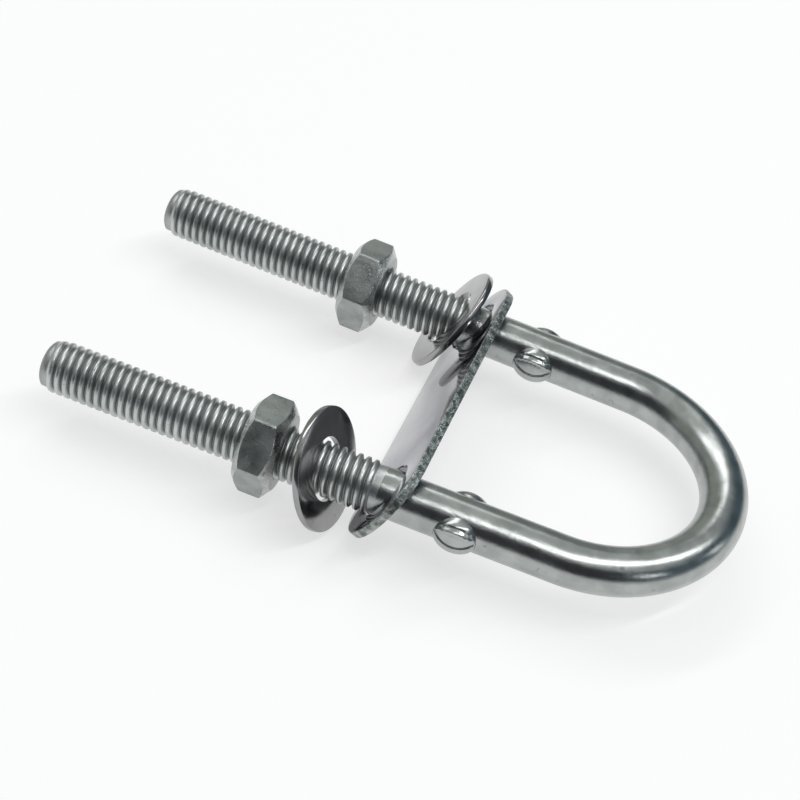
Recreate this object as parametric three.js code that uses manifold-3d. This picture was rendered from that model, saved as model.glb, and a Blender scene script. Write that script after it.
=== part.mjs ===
// Pad eye: a U-bolt that stands up through a deck, with a plate above the deck and a washer and
// nut on each leg below it. Millimetres, +Z up. It lies on its side: the U is level, its legs run
// towards -X, its eye towards +X, and the origin is under the middle of the whole object.

import * as THREE from 'three';
import { mergeVertices } from 'three/addons/utils/BufferGeometryUtils.js';
import Module from 'manifold-3d';

const degrees = THREE.MathUtils.degToRad;

// U-bolt: one bent bar. Its thread is rolled on, so a plain leg of the bar's own diameter, which
// is the thread's pitch diameter, has the same volume and fits the same nut.
const barDiameter = 7.2;
const bendRadius = 19.7;
const legLength = 79.5;
const legSplay = degrees(0.92);
const tipChamfer = 1.4;

// Stop lugs: an oval boss on both sides of each leg, pressed out of the bar. Those that face -Y
// stand out further than those that face +Y.
const lugLength = 6.5;
const lugHeight = 5.6;
const frontLugReach = 5;
const rearLugReach = 4.4;
const lugDome = [[1, 1.4], [0.92, 0.95], [0.75, 0.5], [0.45, 0.15]];
const lugSides = 24;

// Plate: flat, with round ends and a clearance hole for each leg.
const plateDistance = 25.5;
const plateWidth = 15.6;
const plateThickness = 1.4;
const plateHole = 9.2;
const plateTilt = degrees(28);

// Flat washers, tilted as they lie loose on the legs.
const washerOuter = 18.2;
const washerHole = 9.3;
const washerThickness = 1.1;
const washerEdge = 0.25;

// M8 hexagon nuts.
const nutAcrossFlats = 13;
const nutHeight = 5.8;
const nutFaceDiameter = 12.4;
const nutChamferAngle = degrees(30);
const nutBore = 7.5;
const nutCountersink = 8.4;

// The legs: side is -1 for the front leg and +1 for the rear one. Distances run along the leg
// from the end of the bend towards the tip.
const legs = [
  {
    name: 'front',
    side: -1,
    lugDistance: 14.7,
    washerDistance: 35.6,
    washerTilt: degrees(-21.5),
    washerYaw: degrees(-4),
    nutDistance: 44.7,
    nutTurn: degrees(20.8),
  },
  {
    name: 'rear',
    side: 1,
    lugDistance: 15.2,
    washerDistance: 30,
    washerTilt: degrees(28),
    washerYaw: degrees(4),
    nutDistance: 44.7,
    nutTurn: degrees(14.7),
  },
];

const barSides = 32;
const bendSteps = 36;
const turnedSides = 48;

// How far a cutting tool reaches past what it cuts.
const spare = 0.5;

const steel = {
  bar: { color: 0xa7aaa4, roughness: 0.28, metalness: 1 },
  plate: { color: 0xc0c2c6, roughness: 0.12, metalness: 1 },
  washer: { color: 0xb4b3b0, roughness: 0.16, metalness: 1 },
  nut: { color: 0x8f938c, roughness: 0.42, metalness: 1 },
};

const wasm = await Module();
wasm.setup();

function solid(geometry) {
  const bare = geometry.clone();
  bare.deleteAttribute('normal');
  bare.deleteAttribute('uv');
  const merged = mergeVertices(bare, 1e-4);
  const vertProperties = new Float32Array(merged.attributes.position.array);
  const triVerts = new Uint32Array(merged.index.array);
  return new wasm.Manifold(new wasm.Mesh({ numProp: 3, vertProperties, triVerts }));
}

function mesh(name, shape, finish) {
  const { vertProperties, triVerts } = shape.getMesh();
  const geometry = new THREE.BufferGeometry();
  geometry.setAttribute('position', new THREE.BufferAttribute(vertProperties, 3));
  geometry.setIndex(new THREE.BufferAttribute(triVerts, 1));
  geometry.computeVertexNormals();
  const piece = new THREE.Mesh(geometry, new THREE.MeshStandardMaterial(finish));
  piece.name = name;
  return piece;
}

// A turned body about the X axis, from [radius, x] points.
function turned(profile, sides = turnedSides) {
  const points = profile.map(([radius, x]) => new THREE.Vector2(radius, x));
  return new THREE.LatheGeometry(points, sides).rotateZ(-Math.PI / 2);
}

// The end of the bend where a leg starts, as a frame whose -X runs along the leg to its tip.
function legFrame(side) {
  const frame = new THREE.Group();
  frame.position.set(bendRadius * Math.sin(legSplay), side * bendRadius * Math.cos(legSplay), 0);
  frame.rotation.z = -side * legSplay;
  frame.updateMatrix();
  return frame;
}

// The bar's centre line: the front leg, the bend and the rear leg, in steps of one leg, one bend
// facet each and one leg, so that the straight legs need no facets along them.
class BarLine extends THREE.Curve {
  bendAngle(step) {
    const reach = Math.PI / 2 - legSplay;
    return THREE.MathUtils.mapLinear(step - 1, 0, bendSteps, -reach, reach);
  }

  getPoint(t) {
    const step = t * (bendSteps + 2);
    const angle = this.bendAngle(THREE.MathUtils.clamp(step, 1, bendSteps + 1));
    const point = new THREE.Vector3(bendRadius * Math.cos(angle), bendRadius * Math.sin(angle), 0);
    const past = Math.min(step - 1, 0) + Math.max(step - bendSteps - 1, 0);
    return point.addScaledVector(this.getTangent(t), past * legLength);
  }

  getPointAt(u) {
    return this.getPoint(u);
  }

  getTangent(t) {
    const angle = this.bendAngle(THREE.MathUtils.clamp(t * (bendSteps + 2), 1, bendSteps + 1));
    return new THREE.Vector3(-Math.sin(angle), Math.cos(angle), 0);
  }

  getTangentAt(u) {
    return this.getTangent(u);
  }
}

function bar() {
  const corners = Array.from({ length: barSides }, (_, i) => {
    const angle = (2 * Math.PI * i) / barSides;
    return new THREE.Vector2(Math.cos(angle), Math.sin(angle)).multiplyScalar(barDiameter / 2);
  });
  return new THREE.ExtrudeGeometry(new THREE.Shape(corners), {
    steps: bendSteps + 2,
    extrudePath: new BarLine(),
    bevelEnabled: false,
  });
}

// A ring around a leg's tip, which leaves its chamfer when it is cut away.
function tipCutter() {
  const outside = barDiameter / 2 + spare;
  const end = barDiameter / 2 - tipChamfer;
  return turned([
    [end - spare, -spare],
    [outside, -spare],
    [outside, tipChamfer + spare],
    [end - spare, -spare],
  ]).translate(-legLength, 0, 0);
}

// One boss, from inside the bar out to its domed face. The dome's points are a share of
// the boss's width and a distance below its top.
function lug(face) {
  const reach = face < 0 ? frontLugReach : rearLugReach;
  const dome = lugDome.map(([share, below]) => [share, reach - below]);
  const boss = turned([[0, 0], [1, 0], ...dome, [0, reach]], lugSides);
  boss.rotateZ((face * Math.PI) / 2);
  return boss.scale(lugLength / 2, 1, lugHeight / 2);
}

function uBolt() {
  let shape = solid(bar());
  for (const { side, lugDistance } of legs) {
    const { matrix } = legFrame(side);
    shape = shape.subtract(solid(tipCutter().applyMatrix4(matrix)));
    for (const face of [-1, 1]) {
      const boss = lug(face).translate(-lugDistance, 0, 0);
      shape = shape.add(solid(boss.applyMatrix4(matrix)));
    }
  }
  return mesh('u_bolt', shape, steel.bar);
}

function plate() {
  const holeAt = bendRadius + plateDistance * Math.sin(legSplay);
  const outline = new THREE.Shape();
  outline.absarc(0, holeAt, plateWidth / 2, 0, Math.PI, false);
  outline.absarc(0, -holeAt, plateWidth / 2, Math.PI, 2 * Math.PI, false);
  for (const side of [-1, 1]) {
    outline.holes.push(new THREE.Path().absarc(0, side * holeAt, plateHole / 2, 0, 2 * Math.PI, true));
  }
  const flat = new THREE.ExtrudeGeometry(outline, {
    depth: plateThickness,
    curveSegments: turnedSides / 2,
    bevelEnabled: false,
  });
  flat.translate(0, 0, -plateThickness / 2).rotateY(Math.PI / 2);
  const piece = mesh('plate', solid(flat), steel.plate);
  piece.position.x = -plateDistance;
  piece.rotation.y = plateTilt;
  return piece;
}

function washer({ name, washerDistance, washerTilt, washerYaw }) {
  const inner = washerHole / 2;
  const outer = washerOuter / 2;
  const half = washerThickness / 2;
  const ring = turned([
    [inner, -half],
    [outer - washerEdge, -half],
    [outer, washerEdge - half],
    [outer, half - washerEdge],
    [outer - washerEdge, half],
    [inner, half],
    [inner, -half],
  ]);
  const piece = mesh(`${name}_washer`, solid(ring), steel.washer);
  piece.position.x = -washerDistance;
  piece.rotation.set(0, washerTilt, washerYaw, 'ZYX');
  return piece;
}

function nut({ name, nutDistance, nutTurn }) {
  const half = nutHeight / 2;
  const cornerRadius = nutAcrossFlats / 2 / Math.cos(Math.PI / 6);
  const face = nutFaceDiameter / 2;
  const outside = cornerRadius + spare;
  const chamfer = (outside - face) * Math.tan(nutChamferAngle);
  const hexagon = new THREE.CylinderGeometry(cornerRadius, cornerRadius, nutHeight, 6).rotateZ(-Math.PI / 2);
  const barrel = turned([
    [0, -half],
    [face, -half],
    [outside, chamfer - half],
    [outside, half - chamfer],
    [face, half],
    [0, half],
  ]);
  const sink = nutCountersink / 2;
  const bore = nutBore / 2;
  const drill = turned([
    [0, -half - spare],
    [sink + spare, -half - spare],
    [bore, sink - bore - half],
    [bore, half - sink + bore],
    [sink + spare, half + spare],
    [0, half + spare],
  ]);
  const shape = solid(hexagon).intersect(solid(barrel)).subtract(solid(drill));
  const piece = mesh(`${name}_nut`, shape, steel.nut);
  piece.position.x = -nutDistance;
  piece.rotation.x = nutTurn;
  return piece;
}

const object = new THREE.Group();
object.add(uBolt(), plate());
for (const leg of legs) {
  const frame = legFrame(leg.side);
  frame.add(washer(leg), nut(leg));
  object.add(frame);
}

// The origin goes under the middle of the object, which is symmetrical about y = 0.
const extent = new THREE.Box3().setFromObject(object, true);
object.position.set(-(extent.min.x + extent.max.x) / 2, 0, -extent.min.z);

const group = new THREE.Group();
group.add(object);

export default group;
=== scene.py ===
"""Pad eye: a U-bolt with a plate, and a washer and nut on each leg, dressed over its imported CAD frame.

Shapes are worked out in millimetres in the U-bolt's own frame, whose origin is the centre of its bend.
make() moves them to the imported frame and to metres. A leg's frame starts where the bend ends, and its
X axis runs back from the tip, so a point d along the leg is at x = -d.
"""

import math

import bmesh
import bpy
import numpy as np
from mathutils import Matrix, Vector


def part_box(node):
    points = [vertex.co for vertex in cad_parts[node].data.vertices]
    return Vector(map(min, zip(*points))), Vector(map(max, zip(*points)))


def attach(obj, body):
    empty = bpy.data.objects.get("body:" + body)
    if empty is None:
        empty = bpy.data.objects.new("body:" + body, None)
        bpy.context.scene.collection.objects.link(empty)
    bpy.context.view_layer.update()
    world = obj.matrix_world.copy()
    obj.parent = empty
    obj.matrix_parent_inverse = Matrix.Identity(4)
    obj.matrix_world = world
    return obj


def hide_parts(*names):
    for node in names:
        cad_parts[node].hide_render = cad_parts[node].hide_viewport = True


MM = 0.001

# U-bolt
BAR_RADIUS = 3.6
BEND_RADIUS = 19.7
LEG_LENGTH = 79.5
LEG_SPLAY = math.radians(0.92)
FRONT = -1
REAR = 1

# M8 thread, rolled. Its profile is (share of the pitch, share of the height from root to crest).
PITCH = 1.25
CREST_RADIUS = 3.95
ROOT_RADIUS = 3.28
THREAD_START = -78.4
THREAD_TURNS = 40
THREAD_LENGTH = PITCH * (THREAD_TURNS + 1)
THREAD_FADE_IN = (-0.2, 1.9)
THREAD_FADE_OUT = (0, 2.2)
THREAD_PROFILE = [
    (0.00, 0.00),
    (0.05, 0.02),
    (0.08, 0.12),
    (0.13, 0.29),
    (0.23, 0.68),
    (0.29, 0.89),
    (0.35, 0.98),
    (0.50, 1.00),
    (0.65, 0.98),
    (0.71, 0.89),
    (0.77, 0.68),
    (0.87, 0.29),
    (0.92, 0.12),
    (0.95, 0.02),
]

# A leg's tip: each ring's radius and its depth below the end, which form a rounded rim round a shallow
# hollow. From TIP_RADIUS the plain leg then widens by the taper until it is as wide as the bar.
TIP_PROFILE = [(2.1, 0.25), (2.5, 0.32), (2.85, 0.48), (3.12, 0.66), (3.32, 0.82), (3.42, 0.94)]
TIP_HOLLOW = (1.4, 0.28)
TIP_CENTRE_DEPTH = 0.35
TIP_RADIUS = 3.45
TIP_TAPER = 0.3

# Stop lugs. The distance goes by the leg that a lug is on, and the reach by the way it faces: those
# that face forward, towards -Y, stand out further.
LUG_DISTANCE = {FRONT: 14.7, REAR: 15.2}
LUG_HALF_LENGTH = 3.25
LUG_HALF_HEIGHT = 2.8
LUG_REACH = {FRONT: 5, REAR: 4.4}
LUG_DOME = 1.7
LUG_FOOT = 2.4
LUG_ROOT = 1.2

# The press's mark on a lug
LUG_MARK_RISE = 0.75
LUG_MARK_HALF_HEIGHT = 0.45 * LUG_HALF_HEIGHT
LUG_MARK_FADE = (0.84, 0.97)
LIP_HEIGHT = 0.2
LIP_WIDTH = 0.2
CLEFT_DEPTH = 0.42
CLEFT_RISE = 0.34
CREASE_DEPTH = 0.36
GROOVE_WIDTH = 0.15

# Plate
PLATE_TILT = math.radians(28)
PLATE_HALF_WIDTH = 7.8
PLATE_THICKNESS = 1.4
PLATE_HOLE_RADIUS = 4.6
PLATE_DISTANCE = 25.5

# The plate's outer edge: how far each ring lies inside the outline, its depth below the face where the
# punch entered, and how ragged it is. The tear goes TEAR_DEPTH as far along the edge as it goes in.
# Then the rings of the plate's holes: how far each lies outside the hole's radius, and its depth.
PLATE_EDGE = [
    (0.30, 0, 0),
    (0.12, 0.04, 0),
    (0.03, 0.13, 0.01),
    (0.0, 0.3, 0.02),
    (0.02, 0.5, 0.06),
    (0.03, 0.68, 0.07),
    (0.03, 0.86, 0.07),
    (0.04, 1.04, 0.06),
    (0.05, 1.2, 0.05),
    (0.08, 1.32, 0.03),
    (0.22, PLATE_THICKNESS, 0),
]
TEAR_DEPTH = 0.6
PLATE_HOLE_EDGE = [(0.25, 0), (0.08, 0.05), (0, 0.2), (0, PLATE_THICKNESS - 0.15), (0.12, PLATE_THICKNESS)]

# Washers and nuts
WASHER_OUTER = 9.1
WASHER_HOLE = 4.65
WASHER_THICKNESS = 1.1
WASHER_BEVEL = {FRONT: 0.15, REAR: 0.45}
WASHER_ROUNDING = 0.42
WASHER_CORNER = 0.14
WASHER_CORNER_MIDDLE = 0.04
WASHER_LIP = 0.04
WASHER_TILT = {FRONT: math.radians(-21.5), REAR: math.radians(28)}
WASHER_YAW = {FRONT: math.radians(-4), REAR: math.radians(4)}
NUT_FLAT_RADIUS = 6.5
NUT_CORNER_ROUNDING = 0.5
NUT_HALF_HEIGHT = 2.9
NUT_FACE_RADIUS = 5.75
NUT_CHAMFER = math.radians(35)
NUT_SINK_RADIUS = 4.2
NUT_THREAD_GAP = 0.08
NUT_THREAD_INSET = 0.1
NUT_MINOR_RADIUS = 3.36
NUT_WORN_BANDS = (2, 3, 4)
NUT_TURN = {FRONT: math.radians(20.8), REAR: math.radians(14.7)}

# How finely the shapes are divided. The plain bar's first ring is one neck step past the thread's end.
BOLT_COLUMNS = 48
TURNED_COLUMNS = 96
LUG_COLUMNS = 96
LUG_ROWS = 32
LEG_RINGS = 90
BEND_RINGS = 97
PLATE_ARC_POINTS = 97
PLATE_SIDE_POINTS = 158
NECK_STEP = 0.25

SIDE_NAMES = {FRONT: "front", REAR: "rear"}

# Camera, in metres from ORIGIN
CAMERA_PLACE = Vector((0.005, -0.1976, 0.1862))
CAMERA_AIM = Vector((-0.0306, -0.0014, 0))
CAMERA_ROLL = math.radians(14.3)
CAMERA_LENS = 82.2

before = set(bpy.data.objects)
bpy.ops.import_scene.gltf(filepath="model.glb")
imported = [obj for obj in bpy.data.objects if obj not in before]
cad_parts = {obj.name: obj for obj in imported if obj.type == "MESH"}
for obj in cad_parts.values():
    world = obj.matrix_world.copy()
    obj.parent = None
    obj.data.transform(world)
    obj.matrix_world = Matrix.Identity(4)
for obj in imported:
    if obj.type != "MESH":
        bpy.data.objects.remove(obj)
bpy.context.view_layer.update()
lowest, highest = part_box("u_bolt")
ORIGIN = Vector((highest.x - (BEND_RADIUS + BAR_RADIUS) * MM, 0, (lowest.z + highest.z) / 2))


class Skin:
    """The points and faces of one mesh while it is put together."""

    def __init__(self):
        self.points = []
        self.faces = []

    def row(self, points):
        first = len(self.points)
        self.points.extend(tuple(point) for point in points)
        return list(range(first, len(self.points)))

    def bridge(self, one, other):
        """Faces between two closed rings with the same count of points."""
        for i in range(len(one)):
            j = (i + 1) % len(one)
            self.faces.append((one[i], one[j], other[j], other[i]))

    def bridge_all(self, rings):
        for one, other in zip(rings, rings[1:]):
            self.bridge(one, other)


def leg_axes(side):
    """The origin of a leg's frame, and its X and Y axes, in the U-bolt's frame."""
    along = np.array([math.cos(LEG_SPLAY), -side * math.sin(LEG_SPLAY), 0])
    across = np.array([side * math.sin(LEG_SPLAY), math.cos(LEG_SPLAY), 0])
    return side * BEND_RADIUS * across, along, across


def leg_points(side, points):
    """Points in a leg's frame, as points in the U-bolt's frame."""
    origin, along, across = leg_axes(side)
    return origin + np.asarray(points) @ np.array([along, across, [0, 0, 1]])


def leg_place(side, point):
    """How far a point is along a leg: its x in the leg's frame."""
    origin, along, _ = leg_axes(side)
    return float((point - origin) @ along)


def circle(x, radius, columns):
    angles = np.arange(columns) * 2 * math.pi / columns
    return np.column_stack([np.full(columns, x), radius * np.cos(angles), radius * np.sin(angles)])


def add_object(name, data):
    made = bpy.data.objects.new(name, data)
    bpy.context.scene.collection.objects.link(made)
    return made


def closed_mesh(name, points, faces):
    """A mesh whose faces all point out."""
    mesh = bpy.data.meshes.new(name)
    mesh.from_pydata(points.tolist(), [], faces)
    shape = bmesh.new()
    shape.from_mesh(mesh)
    bmesh.ops.recalc_face_normals(shape, faces=shape.faces)
    shape.to_mesh(mesh)
    shape.free()
    return mesh


def make(name, skin, node, body, materials, sharp=40):
    """The finished piece: in metres, in place, riding on its body and standing for its CAD node."""
    mesh = closed_mesh(name, np.array(skin.points) * MM + np.array(ORIGIN), skin.faces)
    mesh.shade_smooth()
    mesh.set_sharp_from_angle(angle=math.radians(sharp))
    for material in materials:
        mesh.materials.append(material)
    piece = add_object(name, mesh)
    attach(piece, body)
    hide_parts(node)
    return piece


# Thread


def thread(skin, start, turns, columns, low_ring, high_ring, place):
    """A helical strip of whole turns that joins two rings. place(x, angle, height) gives its points.
    Row k of the strip is one profile, and row k + columns, a turn later, starts where row k ends. The low
    ring meets the strip's first turn along its root and the high ring its last, and one larger face at
    each end closes the step between the strip's two neighbouring turns."""
    steps = turns * columns
    strip = []
    for k in range(steps + columns + 1):
        profile = THREAD_PROFILE if k <= steps else THREAD_PROFILE[:1]
        angle = 2 * math.pi * k / columns
        turned = start + PITCH * k / columns
        strip.append(skin.row(place(turned + PITCH * share, angle, height) for share, height in profile))

    def at(k, m):
        return strip[k][m] if m < len(THREAD_PROFILE) else strip[k + columns][0]

    for k in range(steps):
        for m in range(len(THREAD_PROFILE)):
            skin.faces.append((at(k, m), at(k + 1, m), at(k + 1, m + 1), at(k, m + 1)))
    last = columns - 1
    for j in range(last):
        skin.faces.append((low_ring[j], low_ring[j + 1], strip[j + 1][0], strip[j][0]))
        top = (strip[steps + j + 1][0], strip[steps + j + 2][0])
        skin.faces.append((*top, high_ring[(j + 2) % columns], high_ring[j + 1]))
    skin.faces.append((low_ring[last], low_ring[0], *strip[0], strip[columns][0], strip[last][0]))
    end = strip[steps]
    skin.faces.append(
        (end[0], strip[steps + 1][0], high_ring[1], high_ring[0], strip[steps + columns][0], *end[:0:-1])
    )


def smooth_step(value, low, high):
    share = min(max((value - low) / (high - low), 0), 1)
    return share * share * (3 - 2 * share)


def bolt_thread_radius(x, height):
    """The leg's radius: the thread fades in after the tip's chamfer and runs out into the plain neck."""
    full = ROOT_RADIUS + (CREST_RADIUS - ROOT_RADIUS) * height
    from_start = x - THREAD_START
    to_neck = THREAD_LENGTH - from_start
    if from_start < to_neck:
        plain = min(BAR_RADIUS, TIP_RADIUS + TIP_TAPER * from_start)
        fade = smooth_step(from_start, *THREAD_FADE_IN)
    else:
        plain = BAR_RADIUS
        fade = smooth_step(to_neck, *THREAD_FADE_OUT)
    return plain + (full - plain) * fade


# U-bolt


def leg_end(skin, side, neck_ring):
    """A leg from its tip up to the ring of points at its plain neck."""
    rings = [
        skin.row(leg_points(side, circle(-LEG_LENGTH + depth, radius, BOLT_COLUMNS)))
        for radius, depth in TIP_PROFILE
    ]
    centre = skin.row(leg_points(side, [(-LEG_LENGTH + TIP_CENTRE_DEPTH, 0, 0)]))[0]
    hollow_radius, hollow_depth = TIP_HOLLOW
    middle = skin.row(leg_points(side, circle(-LEG_LENGTH + hollow_depth, hollow_radius, BOLT_COLUMNS)))
    skin.bridge(middle, rings[0])
    for j in range(BOLT_COLUMNS):
        skin.faces.append((centre, middle[j], middle[(j + 1) % BOLT_COLUMNS]))
    skin.bridge_all(rings)

    def place(x, angle, height):
        radius = bolt_thread_radius(x, height)
        return leg_points(side, (x, radius * math.cos(angle), radius * math.sin(angle)))

    thread(skin, THREAD_START, THREAD_TURNS, BOLT_COLUMNS, rings[-1], neck_ring, place)


def bar_rings(skin):
    """Rings of the plain bar from one neck round the bend to the other, starting at the front."""
    reach = math.pi / 2 - LEG_SPLAY
    neck = -(THREAD_START + THREAD_LENGTH) - NECK_STEP
    straight = np.linspace(neck, 0, LEG_RINGS)[:-1]
    turns = np.arange(BOLT_COLUMNS) * 2 * math.pi / BOLT_COLUMNS
    section = BAR_RADIUS * np.column_stack([np.cos(turns), np.sin(turns)])

    def ring(centre, outward):
        return skin.row(centre + section[:, :1] * outward + section[:, 1:] * np.array([0, 0, 1]))

    def leg_ring(side, distance):
        _, _, across = leg_axes(side)
        return ring(leg_points(side, (-distance, 0, 0)), side * across)

    rings = [leg_ring(FRONT, distance) for distance in straight]
    for angle in np.linspace(-reach, reach, BEND_RINGS):
        outward = np.array([math.cos(angle), math.sin(angle), 0])
        rings.append(ring(BEND_RADIUS * outward, outward))
    rings += [leg_ring(REAR, distance) for distance in straight[::-1]]
    skin.bridge_all(rings)
    return rings


def lug(skin, side, face):
    """A pressed oval boss with an eye-shaped mark between two creases, closed inside the bar."""
    reach = LUG_REACH[face]
    place = -LUG_DISTANCE[side]
    rings = []
    for row in range(1, LUG_ROWS + 1):
        share = row / LUG_ROWS
        ring = []
        for j in range(LUG_COLUMNS):
            angle = 2 * math.pi * j / LUG_COLUMNS
            along = LUG_HALF_LENGTH * share * math.cos(angle)
            up = LUG_HALF_HEIGHT * share * math.sin(angle)
            height = reach - LUG_DOME * (1 - math.sqrt(1 - share**2))
            ring.append((place + along, face * (height + lug_mark(along, up, share)), up))
        rings.append(skin.row(leg_points(side, ring)))
    angles = np.arange(LUG_COLUMNS) * 2 * math.pi / LUG_COLUMNS
    for height in (LUG_FOOT, LUG_ROOT):
        foot = np.column_stack([
            place + LUG_HALF_LENGTH * np.cos(angles),
            np.full(LUG_COLUMNS, face * height),
            LUG_HALF_HEIGHT * np.sin(angles),
        ])
        rings.append(skin.row(leg_points(side, foot)))
    skin.bridge_all(rings)
    for ring, height in ((rings[0], reach + lug_mark(0, 0, 0)), (rings[-1], LUG_ROOT)):
        centre = skin.row(leg_points(side, [(place, face * height, 0)]))[0]
        for j in range(LUG_COLUMNS):
            skin.faces.append((centre, ring[j], ring[(j + 1) % LUG_COLUMNS]))


def ridge(distance, width):
    return math.exp(-((distance / width) ** 2))


def lug_mark(along, up, share):
    """The press's mark: an eye between a ragged upper lip, with a cleft over it, and a lower crease."""
    up -= LUG_MARK_RISE
    lens = LUG_MARK_HALF_HEIGHT * (1 - (along / LUG_HALF_LENGTH) ** 2)
    fade = 1 - smooth_step(share, *LUG_MARK_FADE)
    ragged = 0.05 * math.sin(9 * along) + 0.04 * math.sin(23 * along + 1)
    lip = LIP_HEIGHT * ridge(up - lens + ragged, LIP_WIDTH)
    cleft = CLEFT_DEPTH * ridge(up - lens - CLEFT_RISE, GROOVE_WIDTH)
    crease = CREASE_DEPTH * ridge(-up - lens, GROOVE_WIDTH)
    return fade * (lip - cleft - crease)


def with_lugs(bar):
    """The bar with its four lugs joined on."""
    bolt = add_object("bolt_shape", closed_mesh("bolt_shape", np.array(bar.points) * MM, bar.faces))
    spent = [bolt]
    for side in (FRONT, REAR):
        for face in (FRONT, REAR):
            boss = Skin()
            lug(boss, side, face)
            tool = add_object("lug_shape", closed_mesh("lug_shape", np.array(boss.points) * MM, boss.faces))
            union = bolt.modifiers.new("lug", "BOOLEAN")
            union.operation = "UNION"
            union.solver = "EXACT"
            union.object = tool
            spent.append(tool)
    joined = bolt.evaluated_get(bpy.context.evaluated_depsgraph_get()).data
    whole = Skin()
    whole.points = [tuple(vertex.co / MM) for vertex in joined.vertices]
    whole.faces = [tuple(polygon.vertices) for polygon in joined.polygons]
    for shape in spent:
        bpy.data.objects.remove(shape)
    return whole


def u_bolt(materials):
    """The bolt, with what its steel needs to know: its place on a straight bar and on the thread."""
    skin = Skin()
    rings = bar_rings(skin)
    half = BOLT_COLUMNS // 2
    front_neck = [rings[0][(half - j) % BOLT_COLUMNS] for j in range(BOLT_COLUMNS)]
    leg_end(skin, FRONT, front_neck)
    leg_end(skin, REAR, rings[-1])
    whole = with_lugs(skin)
    piece = make("bent_bar", whole, "u_bolt", "u_bolt", materials)
    straightened, crest = straighten(np.array(whole.points))
    mesh = piece.data
    lay = mesh.attributes.new("straight", "FLOAT_VECTOR", "POINT")
    lay.data.foreach_set("vector", (straightened * MM).astype(np.float32).ravel())
    height = mesh.attributes.new("crest", "FLOAT", "POINT")
    height.data.foreach_set("value", crest.astype(np.float32))
    neck = THREAD_START + THREAD_LENGTH
    reach = BEND_RADIUS * (math.pi / 2 - LEG_SPLAY)
    for polygon in mesh.polygons:
        place = straightened[polygon.vertices[0]][0]
        polygon.material_index = int(abs(place) > reach - neck)
    return piece


def straighten(points):
    """Where the U-bolt's points would be on a straight bar, and their height on its thread."""
    flat = np.hypot(points[:, 0], points[:, 1])
    angle = np.arctan2(points[:, 1], points[:, 0])
    reach = math.pi / 2 - LEG_SPLAY
    result = np.column_stack([BEND_RADIUS * angle, flat - BEND_RADIUS, points[:, 2]])
    for side in (FRONT, REAR):
        past = side * angle > reach
        _, along, across = leg_axes(side)
        spot = points[past][:, :2]
        result[past, 0] = side * (BEND_RADIUS * reach - spot @ along[:2])
        result[past, 1] = side * (spot @ across[:2]) - BEND_RADIUS
    radius = np.hypot(result[:, 1], result[:, 2])
    return result, np.clip((radius - ROOT_RADIUS) / (CREST_RADIUS - ROOT_RADIUS), 0, 1)


# Plate


def plate(materials):
    """A stamped plate: polished faces, rounded where the punch entered and torn along its edge."""
    rough = np.random.default_rng(7)
    hole_at = BEND_RADIUS + PLATE_DISTANCE * math.sin(LEG_SPLAY)
    half = PLATE_THICKNESS / 2
    skin = Skin()
    arc = np.linspace(0, math.pi, PLATE_ARC_POINTS)
    straight = np.linspace(-hole_at, hole_at, PLATE_SIDE_POINTS + 2)[1:-1]
    level = np.zeros_like(straight)
    centres = np.concatenate([
        np.column_stack([np.full_like(arc, hole_at), np.cos(arc), np.sin(arc)]),
        np.column_stack([straight[::-1], level - 1, level]),
        np.column_stack([np.full_like(arc, -hole_at), np.cos(arc + math.pi), np.sin(arc + math.pi)]),
        np.column_stack([straight, level + 1, level]),
    ])

    def outline(inset, x, tear):
        """One ring round the plate. A row of centres is where its point is measured from, and the way
        out from there."""
        reach = PLATE_HALF_WIDTH - inset - tear * rough.random(len(centres))
        depth = x + TEAR_DEPTH * tear * (rough.random(len(centres)) - 0.5)
        across = centres[:, 0] + reach * centres[:, 2]
        return skin.row(np.column_stack([depth, across, reach * centres[:, 1]]))

    outer = [outline(inset, depth - half, tear) for inset, depth, tear in PLATE_EDGE]
    skin.bridge_all(outer)
    ends = [[outer[0]], [outer[-1]]]
    for side in (FRONT, REAR):
        rings = []
        for extra, depth in PLATE_HOLE_EDGE:
            ring = circle(depth - half, PLATE_HOLE_RADIUS + extra, TURNED_COLUMNS)
            rings.append(skin.row(ring + np.array([0, side * hole_at, 0])))
        skin.bridge_all(rings)
        ends[0].append(rings[0])
        ends[1].append(rings[-1])
    for loops in ends:
        fill(skin, loops)
    turn = np.array(Matrix.Rotation(PLATE_TILT, 3, "Y"))
    skin.points = (np.array(skin.points) @ turn.T + np.array([-PLATE_DISTANCE, 0, 0])).tolist()
    piece = make("stamped_plate", skin, "plate", "plate", materials, sharp=28)
    bands = len(PLATE_EDGE) - 1
    for polygon in piece.data.polygons[: bands * len(centres)]:
        polygon.material_index = 1
    return piece


def fill(skin, loops):
    """Triangles that fill a flat outline, less the holes in it."""
    shape = bmesh.new()
    edges = []
    numbers = {}
    for loop in loops:
        corners = [shape.verts.new(skin.points[i]) for i in loop]
        for corner, i in zip(corners, loop):
            numbers[corner] = i
        edges += [shape.edges.new((a, b)) for a, b in zip(corners, corners[1:] + corners[:1])]
    made = bmesh.ops.triangle_fill(shape, use_beauty=True, use_dissolve=False, edges=edges)
    for face in made["geom"]:
        if isinstance(face, bmesh.types.BMFace):
            skin.faces.append(tuple(numbers[corner] for corner in face.verts))
    shape.free()


# Washers and nuts


def node_centre(node):
    """The middle of a CAD node, in millimetres in the U-bolt's frame."""
    low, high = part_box(node)
    return np.array((low + high) / 2 - ORIGIN) / MM


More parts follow.
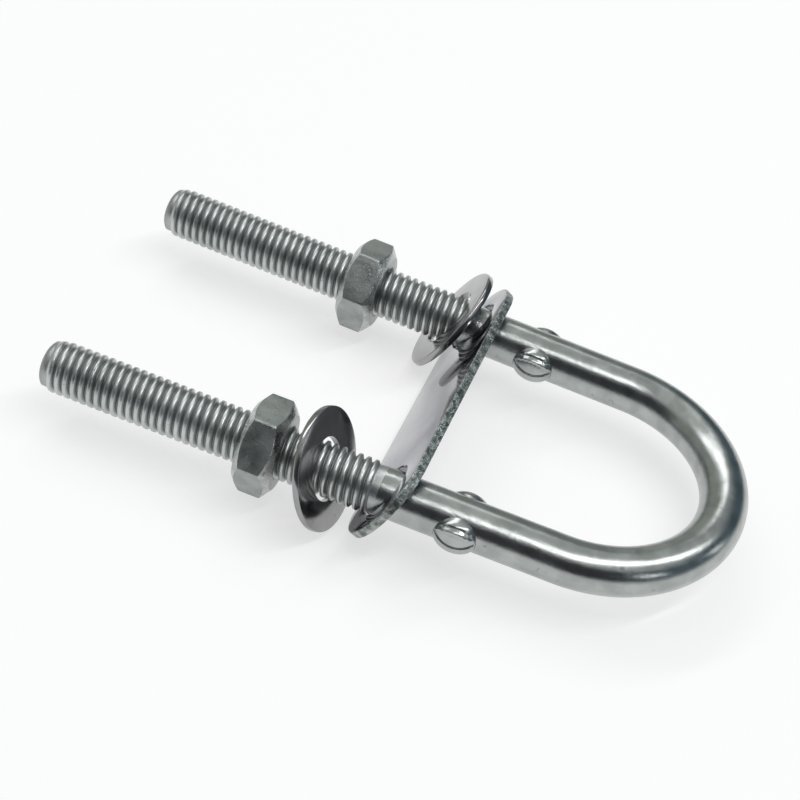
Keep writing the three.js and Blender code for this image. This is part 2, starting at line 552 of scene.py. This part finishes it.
def washer(side, materials):
    """A stamped washer, rounded over at one face's edges, with a bevel round its hole at the other.
    The rear one is tilted further, so it needs a larger bevel to pass over the thread's crests."""
    half = WASHER_THICKNESS / 2
    bevel = WASHER_BEVEL[side]
    rounding = WASHER_ROUNDING
    profile = [(WASHER_HOLE + bevel, -half), (WASHER_OUTER - rounding, -half)]
    for angle in np.linspace(0, math.pi / 2, 7)[1:]:
        radius = WASHER_OUTER - rounding + rounding * math.sin(angle)
        profile.append((radius, rounding - half - rounding * math.cos(angle)))
    profile += [
        (WASHER_OUTER, half - WASHER_CORNER),
        (WASHER_OUTER - WASHER_CORNER_MIDDLE, half - WASHER_CORNER_MIDDLE),
        (WASHER_OUTER - WASHER_CORNER, half),
    ]
    for angle in np.linspace(0, math.pi / 2, 6):
        radius = WASHER_HOLE + bevel * (1 - math.sin(angle))
        profile.append((radius, half - bevel * (1 - math.cos(angle))))
    profile += [
        (WASHER_HOLE, bevel - WASHER_LIP / 2 - half),
        (WASHER_HOLE + WASHER_LIP, bevel - 1.5 * WASHER_LIP - half),
    ]
    skin = Skin()
    rings = [skin.row(circle(x, radius, TURNED_COLUMNS)) for radius, x in profile]
    skin.bridge_all(rings + rings[:1])
    name = SIDE_NAMES[side]
    turn = Matrix.Rotation(WASHER_YAW[side] - side * LEG_SPLAY, 3, "Z")
    tilt = np.array(turn @ Matrix.Rotation(WASHER_TILT[side], 3, "Y"))
    skin.points = (np.array(skin.points) @ tilt.T + node_centre(f"{name}_washer")).tolist()
    return make(f"{name}_flat_washer", skin, f"{name}_washer", f"{name}_washer", materials)


def hexagon():
    """(angle, radius) round a hexagon with rounded corners, starting beside a corner. Half of its
    TURNED_COLUMNS points are on its corners, and half on its flats."""
    stretch = TURNED_COLUMNS // 12
    rounding = NUT_CORNER_ROUNDING
    apart = (NUT_FLAT_RADIUS - rounding) / math.cos(math.pi / 6)
    edge = math.atan2(rounding * math.sin(math.pi / 6), apart + rounding * math.cos(math.pi / 6))
    points = []
    for corner in range(6):
        middle = corner * math.pi / 3
        for angle in np.linspace(-edge, edge, stretch):
            radius = apart * math.cos(angle) + math.sqrt(rounding**2 - (apart * math.sin(angle)) ** 2)
            points.append((middle + angle, radius))
        for angle in np.linspace(edge, math.pi / 3 - edge, stretch + 2)[1:-1]:
            points.append((middle + angle, NUT_FLAT_RADIUS / math.cos(math.pi / 6 - angle)))
    return points


def nut(side, materials):
    """A hexagon nut with chamfered ends and a thread that meshes with its leg's."""
    name = SIDE_NAMES[side]
    columns = TURNED_COLUMNS
    centre = leg_place(side, node_centre(f"{name}_nut"))
    half = NUT_HALF_HEIGHT
    turn = NUT_TURN[side] + math.pi / 6
    outside = hexagon()
    shift = round(turn / (2 * math.pi) * columns)
    outside = [outside[(j - shift) % columns] for j in range(columns)]
    angles = np.array([angle + turn for angle, _ in outside])
    hexagon_radius = np.array([radius for _, radius in outside])
    skin = Skin()

    def ring(radius, x):
        x = np.broadcast_to(x, columns) + centre
        points = np.column_stack([x, radius * np.cos(angles), radius * np.sin(angles)])
        return skin.row(leg_points(side, points))

    drop = (hexagon_radius - NUT_FACE_RADIUS) * math.tan(NUT_CHAMFER)
    # Radius and x of each ring, from the low face over its chamfer to the flats.
    low_half = [
        (NUT_FACE_RADIUS - 0.25, -half),
        (NUT_FACE_RADIUS - 0.05, 0.02 - half),
        (NUT_FACE_RADIUS + 0.1, 0.09 - half),
        (np.maximum(hexagon_radius - 0.14, NUT_FACE_RADIUS + 0.12), drop - half),
        (hexagon_radius - 0.03, drop + 0.12 - half),
        (hexagon_radius, drop + 0.3 - half),
    ]
    low_ring = skin.row(leg_points(side, circle(centre - half, NUT_SINK_RADIUS, columns)))
    high_ring = skin.row(leg_points(side, circle(centre + half, NUT_SINK_RADIUS, columns)))
    rings = [low_ring] + [ring(radius, x) for radius, x in low_half]
    rings += [ring(radius, -x) for radius, x in reversed(low_half)] + [high_ring]
    skin.bridge_all(rings)

    def place(x, angle, height):
        radius = ROOT_RADIUS + (CREST_RADIUS - ROOT_RADIUS) * height + NUT_THREAD_GAP
        sink = NUT_SINK_RADIUS - half + abs(x - centre)
        radius = max(radius, NUT_MINOR_RADIUS, sink)
        return leg_points(side, (x, radius * math.cos(angle), radius * math.sin(angle)))

    first = math.ceil((centre - half + NUT_THREAD_INSET - THREAD_START) / PITCH)
    start = THREAD_START + PITCH * first
    turns = int((centre + half - NUT_THREAD_INSET - start) / PITCH) - 1
    thread(skin, start, turns, columns, low_ring, high_ring, place)
    piece = make(f"{name}_hex_nut", skin, f"{name}_nut", f"{name}_nut", materials, sharp=34)
    bands = len(rings) - 1
    for k, polygon in enumerate(piece.data.polygons[: columns * bands]):
        band = k // columns
        polygon.material_index = int(min(band, bands - 1 - band) in NUT_WORN_BANDS)
    return piece


# Materials

PIT_SCALE = 900
PIT_BAND = (0.66, 0.74)
PIT_DARKNESS = 0.45
PIT_RELIEF = 0.6
# The thread's root, between its crests: painted shade darkens its colour, and it is made rougher.
CREST_BAND = (0.05, 0.55)
ROOT_PAINTED_SHADE = 0.65
ROOT_ROUGHNESS = 0.14


class Graph:
    """Short calls for making and linking nodes."""

    def __init__(self, tree):
        self.tree = tree
        tree.nodes.clear()

    def node(self, kind, inputs=None, **settings):
        made = self.tree.nodes.new(kind)
        for name, value in settings.items():
            setattr(made, name, value)
        for key, value in (inputs or {}).items():
            if isinstance(value, bpy.types.NodeSocket):
                self.tree.links.new(value, made.inputs[key])
            else:
                made.inputs[key].default_value = value
        return made

    def math(self, operation, *values):
        return self.node("ShaderNodeMath", dict(enumerate(values)), operation=operation).outputs[0]

    def range(self, value, low, high, to_low=0.0, to_high=1.0, smooth=False):
        kind = "SMOOTHSTEP" if smooth else "LINEAR"
        inputs = {"Value": value, "From Min": low, "From Max": high, "To Min": to_low, "To Max": to_high}
        return self.node("ShaderNodeMapRange", inputs, interpolation_type=kind).outputs[0]

    def mix(self, share, one, other):
        inputs = {0: share, 6: one, 7: other}
        return self.node("ShaderNodeMix", inputs, data_type="RGBA").outputs[2]

    def noise(self, place, scale, detail=3.0, roughness=0.5):
        inputs = {"Vector": place, "Scale": scale, "Detail": detail, "Roughness": roughness}
        return self.node("ShaderNodeTexNoise", inputs).outputs["Fac"]


def steel(
    name, light, dark, roughness, spread, grain, depth,
    mottle=0.006, stretch=(1, 1, 1), lay=None, crests=False,
):
    """Stainless steel that varies between two colours, with small pits. In metres, mottle is the size of
    its patches of colour, grain that of its texture, and depth the texture's relief. stretch scales the
    texture along each axis, and lay names the attribute that places it. With crests, the thread's root
    is rougher than its crest, and painted shade darkens the root's colour."""
    material = bpy.data.materials.new(name)
    material.use_nodes = True
    graph = Graph(material.node_tree)
    if lay:
        place = graph.node("ShaderNodeAttribute", attribute_name=lay).outputs["Vector"]
    else:
        place = graph.node("ShaderNodeTexCoord").outputs["Object"]
    drawn = graph.node("ShaderNodeMapping", {"Vector": place, "Scale": stretch}).outputs[0]
    blotches = graph.noise(place, 1 / mottle, 4)
    fine = graph.noise(drawn, 1 / grain, 6, 0.62)
    specks = graph.noise(drawn, 3.1 / grain, 3, 0.7)
    pits = graph.range(graph.noise(place, PIT_SCALE, 2, 0.6), *PIT_BAND)
    colour = graph.mix(graph.range(blotches, 0.35, 0.65), dark, light)
    pitted = tuple(0.5 * part for part in dark[:3]) + (1,)
    colour = graph.mix(graph.math("MULTIPLY", pits, PIT_DARKNESS), colour, pitted)
    shade = graph.range(fine, 0.3, 0.7, -spread, spread)
    gloss = graph.math("ADD", graph.range(blotches, 0.3, 0.7, roughness - spread, roughness + spread), shade)
    if crests:
        height = graph.node("ShaderNodeAttribute", attribute_name="crest").outputs["Fac"]
        on_crest = graph.range(height, *CREST_BAND)
        # Painted shade: the thread's root is darkened, as if shade lay in it.
        root = tuple(ROOT_PAINTED_SHADE * part for part in dark[:3]) + (1,)
        colour = graph.mix(on_crest, root, colour)
        gloss = graph.math("ADD", gloss, graph.range(on_crest, 0, 1, ROOT_ROUGHNESS, 0))
    relief = graph.math("ADD", fine, graph.math("MULTIPLY", specks, 0.5))
    relief = graph.math("SUBTRACT", relief, graph.math("MULTIPLY", pits, PIT_RELIEF))
    bump = graph.node("ShaderNodeBump", {"Height": relief, "Distance": depth, "Strength": 1.0})
    shader = graph.node("ShaderNodeBsdfPrincipled", {
        "Base Color": colour,
        "Roughness": gloss,
        "Metallic": 1.0,
        "Normal": bump.outputs[0],
    })
    graph.node("ShaderNodeOutputMaterial", {"Surface": shader.outputs[0]})
    return material


# Room: what the steel reflects. Azimuth is from the -Y side round towards +X.


def direction(azimuth, elevation):
    a, e = math.radians(azimuth), math.radians(elevation)
    return Vector((math.sin(a) * math.cos(e), -math.cos(a) * math.cos(e), math.sin(e)))


def room():
    """Walls and ceiling: a dim wall before the object and on its right, a lighter one on its left."""
    world = bpy.data.worlds.new("room")
    world.use_nodes = True
    bpy.context.scene.world = world
    graph = Graph(world.node_tree)
    split = graph.node("ShaderNodeSeparateXYZ", {0: graph.node("ShaderNodeTexCoord").outputs["Generated"]})
    x, y, z = split.outputs
    level = graph.math("SQRT", graph.math("ADD", graph.math("MULTIPLY", x, x), graph.math("MULTIPLY", y, y)))

    def towards(azimuth, from_cosine, to_cosine):
        aim = direction(azimuth, 0)
        along = graph.math("ADD", graph.math("MULTIPLY", x, aim.x), graph.math("MULTIPLY", y, aim.y))
        cosine = graph.math("DIVIDE", along, graph.math("MAXIMUM", level, 0.001))
        return graph.range(cosine, from_cosine, to_cosine, smooth=True)

    front = towards(0, 0.45, 0.8)
    right = towards(100, 0.0, 0.35)
    wall = graph.mix(right, (0.40, 0.42, 0.39, 1), (0.10, 0.14, 0.17, 1))
    wall = graph.mix(front, wall, (0.060, 0.062, 0.070, 1))
    top = graph.range(front, 0, 1, 0.66, 0.80)
    above = graph.range(graph.math("SUBTRACT", z, top), -0.07, 0.07, smooth=True)
    sky = graph.mix(above, wall, (0.60, 0.62, 0.61, 1))
    below = graph.range(z, -0.02, 0.0, smooth=True)
    light = graph.mix(below, (0.6, 0.6, 0.6, 1), sky)
    shader = graph.node("ShaderNodeBackground", {"Color": light, "Strength": 1.0})
    graph.node("ShaderNodeOutputWorld", {"Surface": shader.outputs[0]})


def lamp(name, start, end, width, radiance):
    """A rectangular light from start to end, facing the object."""
    start, end = Vector(start), Vector(end)
    centre = (start + end) / 2
    facing = centre.normalized()
    along = (end - start).normalized()
    across = facing.cross(along).normalized()
    along = across.cross(facing)
    data = bpy.data.lights.new(name, "AREA")
    data.shape = "RECTANGLE"
    data.size = (end - start).length
    data.size_y = width
    data.energy = radiance * math.pi * data.size * data.size_y
    made = add_object(name, data)
    made.matrix_world = Matrix.Translation(centre) @ Matrix((along, across, facing)).transposed().to_4x4()


def lights():
    lamp("ceiling_tubes", (-0.05, -0.47, 1.0), (0.69, 0.48, 1.0), 0.07, 15.0)
    lamp("far_ceiling_tubes", (-0.19, 1.06, 1.0), (-1.0, 0.09, 1.0), 0.14, 6.0)
    for name, azimuth, elevation, size, radiance in (
        ("right_lamp", 62, 23, 0.10, 9.0),
        ("low_lamp", 110, 15, 0.09, 7.0),
        ("left_lamp", -55, 10, 0.09, 1.5),
    ):
        centre = direction(azimuth, elevation)
        beside = direction(azimuth + 90, 0) * size / 2
        lamp(name, centre - beside, centre + beside, size, radiance)


def floor():
    mesh = bpy.data.meshes.new("floor")
    size = 4
    corners = [(-size, -size, 0), (size, -size, 0), (size, size, 0), (-size, size, 0)]
    mesh.from_pydata(corners, [], [(0, 1, 2, 3)])
    material = bpy.data.materials.new("pale_floor")
    material.use_nodes = True
    graph = Graph(material.node_tree)
    shader = graph.node("ShaderNodeBsdfPrincipled", {
        "Base Color": (0.42, 0.42, 0.42, 1),
        "Roughness": 0.9,
        "Specular IOR Level": 0.1,
        "Emission Color": (1, 1, 1, 1),
        "Emission Strength": 0.62,
    })
    graph.node("ShaderNodeOutputMaterial", {"Surface": shader.outputs[0]})
    mesh.materials.append(material)
    piece = add_object("floor", mesh)


def camera():
    data = bpy.data.cameras.new("camera")
    data.lens = CAMERA_LENS
    data.sensor_width = 36
    data.clip_start = 0.01
    made = add_object("camera", data)
    look = (CAMERA_AIM - CAMERA_PLACE).to_track_quat("-Z", "Y").to_matrix()
    roll = Matrix.Rotation(CAMERA_ROLL, 3, "Z")
    made.matrix_world = Matrix.Translation(ORIGIN + CAMERA_PLACE) @ (look @ roll).to_4x4()
    bpy.context.scene.camera = made


bar_steel = steel(
    "drawn_steel", (0.43, 0.45, 0.44, 1), (0.34, 0.36, 0.35, 1), 0.19, 0.03,
    grain=0.00025, depth=0.00002, mottle=0.003, stretch=(0.6, 1, 1), lay="straight",
)
thread_steel = steel(
    "rolled_thread", (0.58, 0.60, 0.595, 1), (0.44, 0.46, 0.455, 1), 0.33, 0.04,
    grain=0.0005, depth=0.00002, lay="straight", crests=True,
)
plate_steel = steel(
    "mirror_steel", (0.33, 0.33, 0.355, 1), (0.28, 0.28, 0.31, 1), 0.07, 0.01, grain=0.003, depth=0.000004,
)
torn_steel = steel(
    "torn_edge", (0.46, 0.49, 0.47, 1), (0.10, 0.12, 0.11, 1), 0.24, 0.08,
    grain=0.0003, depth=0.00008, mottle=0.0011,
)
washer_steel = steel(
    "washer_steel", (0.36, 0.357, 0.36, 1), (0.27, 0.267, 0.27, 1), 0.15, 0.03, grain=0.0012, depth=0.000008,
)
nut_steel = steel(
    "nut_steel", (0.38, 0.40, 0.39, 1), (0.26, 0.28, 0.27, 1), 0.34, 0.06,
    grain=0.0004, depth=0.00006, mottle=0.003,
)
worn_steel = steel(
    "worn_edge", (0.54, 0.56, 0.55, 1), (0.38, 0.40, 0.39, 1), 0.26, 0.05,
    grain=0.0004, depth=0.00003, mottle=0.001,
)

u_bolt([bar_steel, thread_steel])
plate([plate_steel, torn_steel])
for side in (FRONT, REAR):
    washer(side, [washer_steel])
    nut(side, [nut_steel, worn_steel])

room()
lights()
floor()
camera()
bpy.context.scene.view_settings.view_transform = "Standard"
